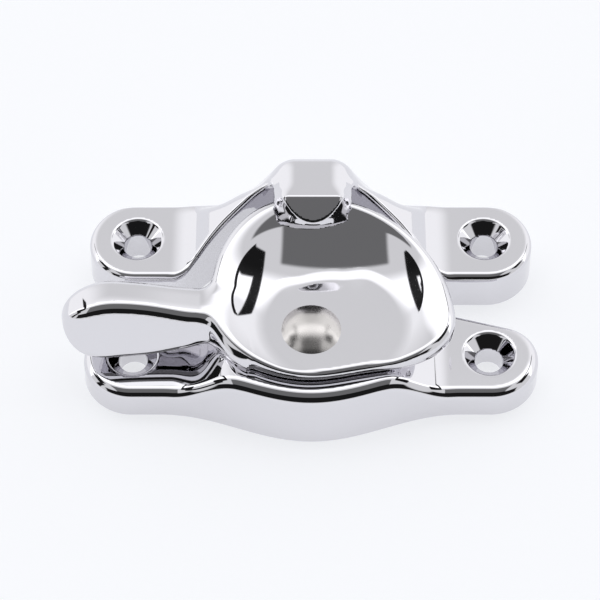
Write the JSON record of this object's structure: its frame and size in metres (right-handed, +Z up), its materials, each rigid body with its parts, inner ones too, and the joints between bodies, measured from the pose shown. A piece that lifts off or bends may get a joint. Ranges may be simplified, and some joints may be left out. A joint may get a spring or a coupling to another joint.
{
  "type": "sash window fastener",
  "caption": "Rotary sash window fastener: screw plate with a dished cam arm and thumb handle, and a keep whose nose hooks over the arm's rim.",
  "frame": {"origin": "the arm's pivot axis at the underside of the base plate", "axes": "+X along the meeting rail and the row of screw holes, +Y from the base plate to the keep, +Z up out of the sash"},
  "size_m": [0.0686, 0.0424, 0.02],
  "materials": {
    "base_chrome": "bright chrome plate on a zinc casting",
    "arm_chrome": "bright chrome plate on a zinc casting",
    "keep_chrome": "bright chrome plate on a zinc casting",
    "rivet_steel": "satin plated steel",
    "washer_steel": "zinc-plated steel",
    "block_steel": "zinc-plated steel",
    "spring_steel": "blued spring steel"
  },
  "bodies": {
    "base": {"base_plate": "base_chrome", "friction_washer": "washer_steel", "leaf_spring": "spring_steel"},
    "arm": {"cam_arm": "arm_chrome", "pivot_rivet": "rivet_steel", "detent_block": "block_steel", "tail_washer": "washer_steel"},
    "keep_half": {"keep": "keep_chrome"}
  },
  "joints": [
    {"name": "arm_turn", "type": "hinge", "parent": "base", "child": "arm", "pos_m": [0, 0, 0.0112], "axis": [0, 0, 1], "range_deg": [0, 180], "deforming": ["leaf_spring"]},
    {"name": "keep_lift", "type": "slide", "parent": "base", "child": "keep_half", "axis": [0, 0, 1], "range_m": [0, 0.025]}
  ]
}
